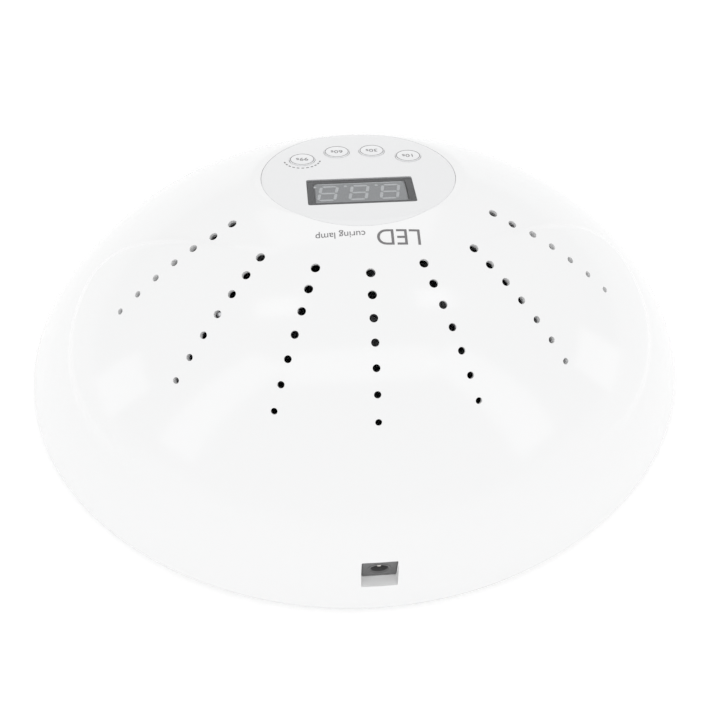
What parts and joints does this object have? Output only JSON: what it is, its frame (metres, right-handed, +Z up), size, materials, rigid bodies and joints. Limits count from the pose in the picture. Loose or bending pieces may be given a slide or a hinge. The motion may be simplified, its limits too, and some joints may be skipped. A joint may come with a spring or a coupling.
{
  "type": "uv curing lamp",
  "caption": "Domed mains-adapter UV curing lamp with an arched hand opening, a tilted timer panel, vent rows and a magnetic lift-off base tray.",
  "frame": {"origin": "centre of the footprint on the table, at the underside of the rubber feet", "axes": "+X across the lamp to the side of the 99 s button, -Y towards the user and the hand opening, +Y to the power socket, +Z up"},
  "size_m": [0.236, 0.184, 0.082],
  "materials": {
    "white_abs": "high gloss injection-moulded ABS",
    "panel_grey": "satin printed fascia",
    "button_white": "satin, with a printed grey ring and number",
    "smoked_window": "clear smoked acrylic",
    "display_body": "matt grey face",
    "segment_white": "translucent white segments, unlit",
    "circuit_green": "solder mask over glass-fibre board",
    "black_plastic": "fine matt moulded",
    "steel": "zinc plated",
    "nickel": "nickel plated",
    "mirror_plastic": "vacuum-metallised plastic, mirror bright",
    "mirror_sheet": "metallised plastic sheet, mirror bright",
    "aluminium": "white-coated aluminium core board",
    "lamp_die": "phosphor-yellow emitter",
    "lens_clear": "clear moulded lens",
    "lens_dark": "infrared-pass dark epoxy",
    "copper": "enamelled copper winding",
    "sleeve_navy": "shrink sleeve",
    "ivory_plastic": "connector nylon",
    "lead_grey": "PVC insulation",
    "rubber_grey": "soft matt"
  },
  "bodies": {
    "tray": {"base_tray": "white_abs", "tray_mirror": "mirror_sheet", "tray_plates": "steel", "rubber_feet": "rubber_grey"},
    "lamp": {"outer_shell": "white_abs", "control_panel": "panel_grey", "window_lens": "smoked_window", "display_module": "display_body", "display_segments": "segment_white", "control_board": "circuit_green", "switch_bodies": "black_plastic", "buzzer": "black_plastic", "board_screws": "steel", "inner_reflector": "mirror_plastic", "lamp_boards": "aluminium", "lamp_emitters": "lamp_die", "lamp_lenses": "lens_clear", "front_bezel": "white_abs", "sensor_emitter": "lens_dark", "sensor_receiver": "lens_dark", "power_board": "circuit_green", "capacitors": "sleeve_navy", "inductor": "copper", "driver_chips": "black_plastic", "board_plugs": "ivory_plastic", "board_lead": "lead_grey", "power_socket": "black_plastic", "socket_pin": "nickel", "lower_frame": "white_abs", "frame_screws": "steel", "frame_magnets": "nickel"},
    "button_10s": {"button_10s": "button_white", "plunger_10s": "black_plastic"},
    "button_30s": {"button_30s": "button_white", "plunger_30s": "black_plastic"},
    "button_60s": {"button_60s": "button_white", "plunger_60s": "black_plastic"},
    "button_99s": {"button_99s": "button_white", "plunger_99s": "black_plastic"}
  },
  "joints": [
    {"name": "lamp_lift", "type": "slide", "parent": "tray", "child": "lamp", "axis": [0, 0, 1], "range_m": [0, 0.06]},
    {"name": "press_10s", "type": "slide", "parent": "lamp", "child": "button_10s", "axis": [0, 0.4695, -0.8829], "range_m": [0, 0.0006], "stiffness_N_per_m": 2500, "springref_m": -0.0002},
    {"name": "press_30s", "type": "slide", "parent": "lamp", "child": "button_30s", "axis": [0, 0.4695, -0.8829], "range_m": [0, 0.0006], "stiffness_N_per_m": 2500, "springref_m": -0.0002},
    {"name": "press_60s", "type": "slide", "parent": "lamp", "child": "button_60s", "axis": [0, 0.4695, -0.8829], "range_m": [0, 0.0006], "stiffness_N_per_m": 2500, "springref_m": -0.0002},
    {"name": "press_99s", "type": "slide", "parent": "lamp", "child": "button_99s", "axis": [0, 0.4695, -0.8829], "range_m": [0, 0.0006], "stiffness_N_per_m": 2500, "springref_m": -0.0002}
  ]
}
